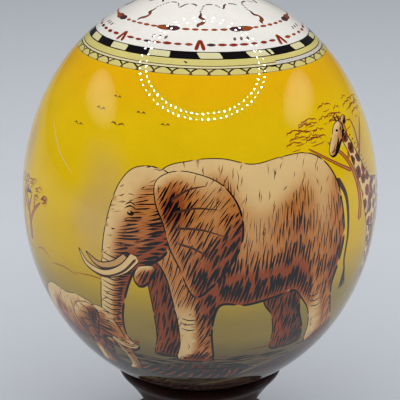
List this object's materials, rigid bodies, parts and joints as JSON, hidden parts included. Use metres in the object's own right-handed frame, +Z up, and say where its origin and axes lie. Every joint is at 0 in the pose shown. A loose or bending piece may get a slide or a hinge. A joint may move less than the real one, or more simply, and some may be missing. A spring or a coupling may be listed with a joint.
{
  "type": "decorated ostrich egg on a stand",
  "caption": "Lacquered ostrich egg with a banded print, resting in a small turned spool-shaped wooden stand.",
  "frame": {"origin": "centre of the stand's flat underside", "axes": "+Z up along the egg's and the stand's common axis; -Y is the front of the print"},
  "size_m": [0.1286, 0.1286, 0.181],
  "materials": {
    "lacquered_shell": "print in yellow, cream, tan and black on a white shell, under clear gloss lacquer",
    "dark_wood": "dark stained hardwood with a satin polish"
  },
  "bodies": {
    "root": {"egg": "lacquered_shell", "stand": "dark_wood"}
  },
  "joints": []
}
